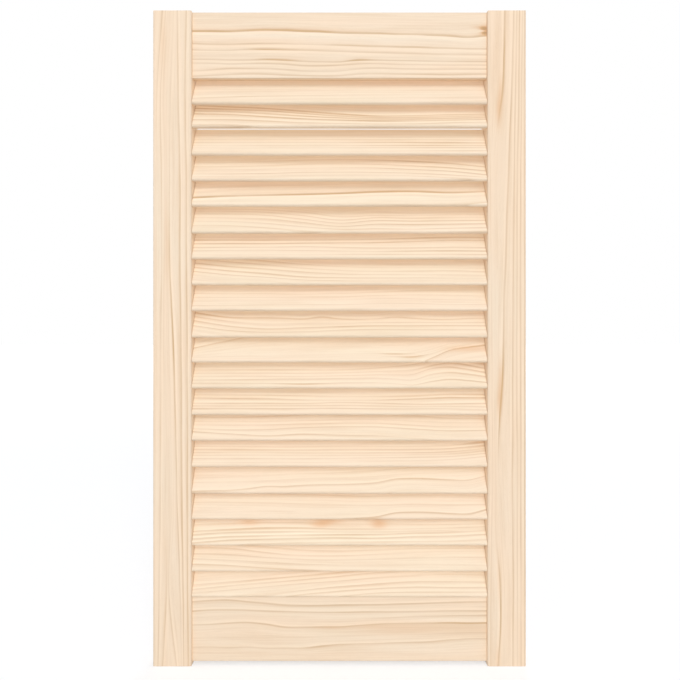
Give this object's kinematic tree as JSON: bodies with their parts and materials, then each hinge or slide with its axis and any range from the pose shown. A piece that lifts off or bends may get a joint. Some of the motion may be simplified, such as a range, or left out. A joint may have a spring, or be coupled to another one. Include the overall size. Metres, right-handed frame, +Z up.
{
  "type": "louvred door",
  "caption": "Upright pine cabinet door leaf with fixed sloping slats between two stiles and two rails, closing an opening while air passes through.",
  "frame": {"origin": "middle of the hinge edge: the outer edge of the left stile, at half the height and half the thickness", "axes": "+X across the leaf from the hinge edge to the closing edge, +Y from the front to the back, +Z up"},
  "size_m": [0.393, 0.021, 0.691],
  "materials": {
    "pine_frame": "planed and sanded pine, unfinished, edges eased",
    "pine_slat": "planed and sanded pine, unfinished, both long edges rounded"
  },
  "bodies": {
    "root": {"left_stile": "pine_frame", "right_stile": "pine_frame", "top_rail": "pine_frame", "bottom_rail": "pine_frame", "slat_01": "pine_slat", "slat_02": "pine_slat", "slat_03": "pine_slat", "slat_04": "pine_slat", "slat_05": "pine_slat", "slat_06": "pine_slat", "slat_07": "pine_slat", "slat_08": "pine_slat", "slat_09": "pine_slat", "slat_10": "pine_slat", "slat_11": "pine_slat", "slat_12": "pine_slat", "slat_13": "pine_slat", "slat_14": "pine_slat", "slat_15": "pine_slat", "slat_16": "pine_slat", "slat_17": "pine_slat", "slat_18": "pine_slat", "slat_19": "pine_slat", "slat_20": "pine_slat"}
  },
  "joints": []
}
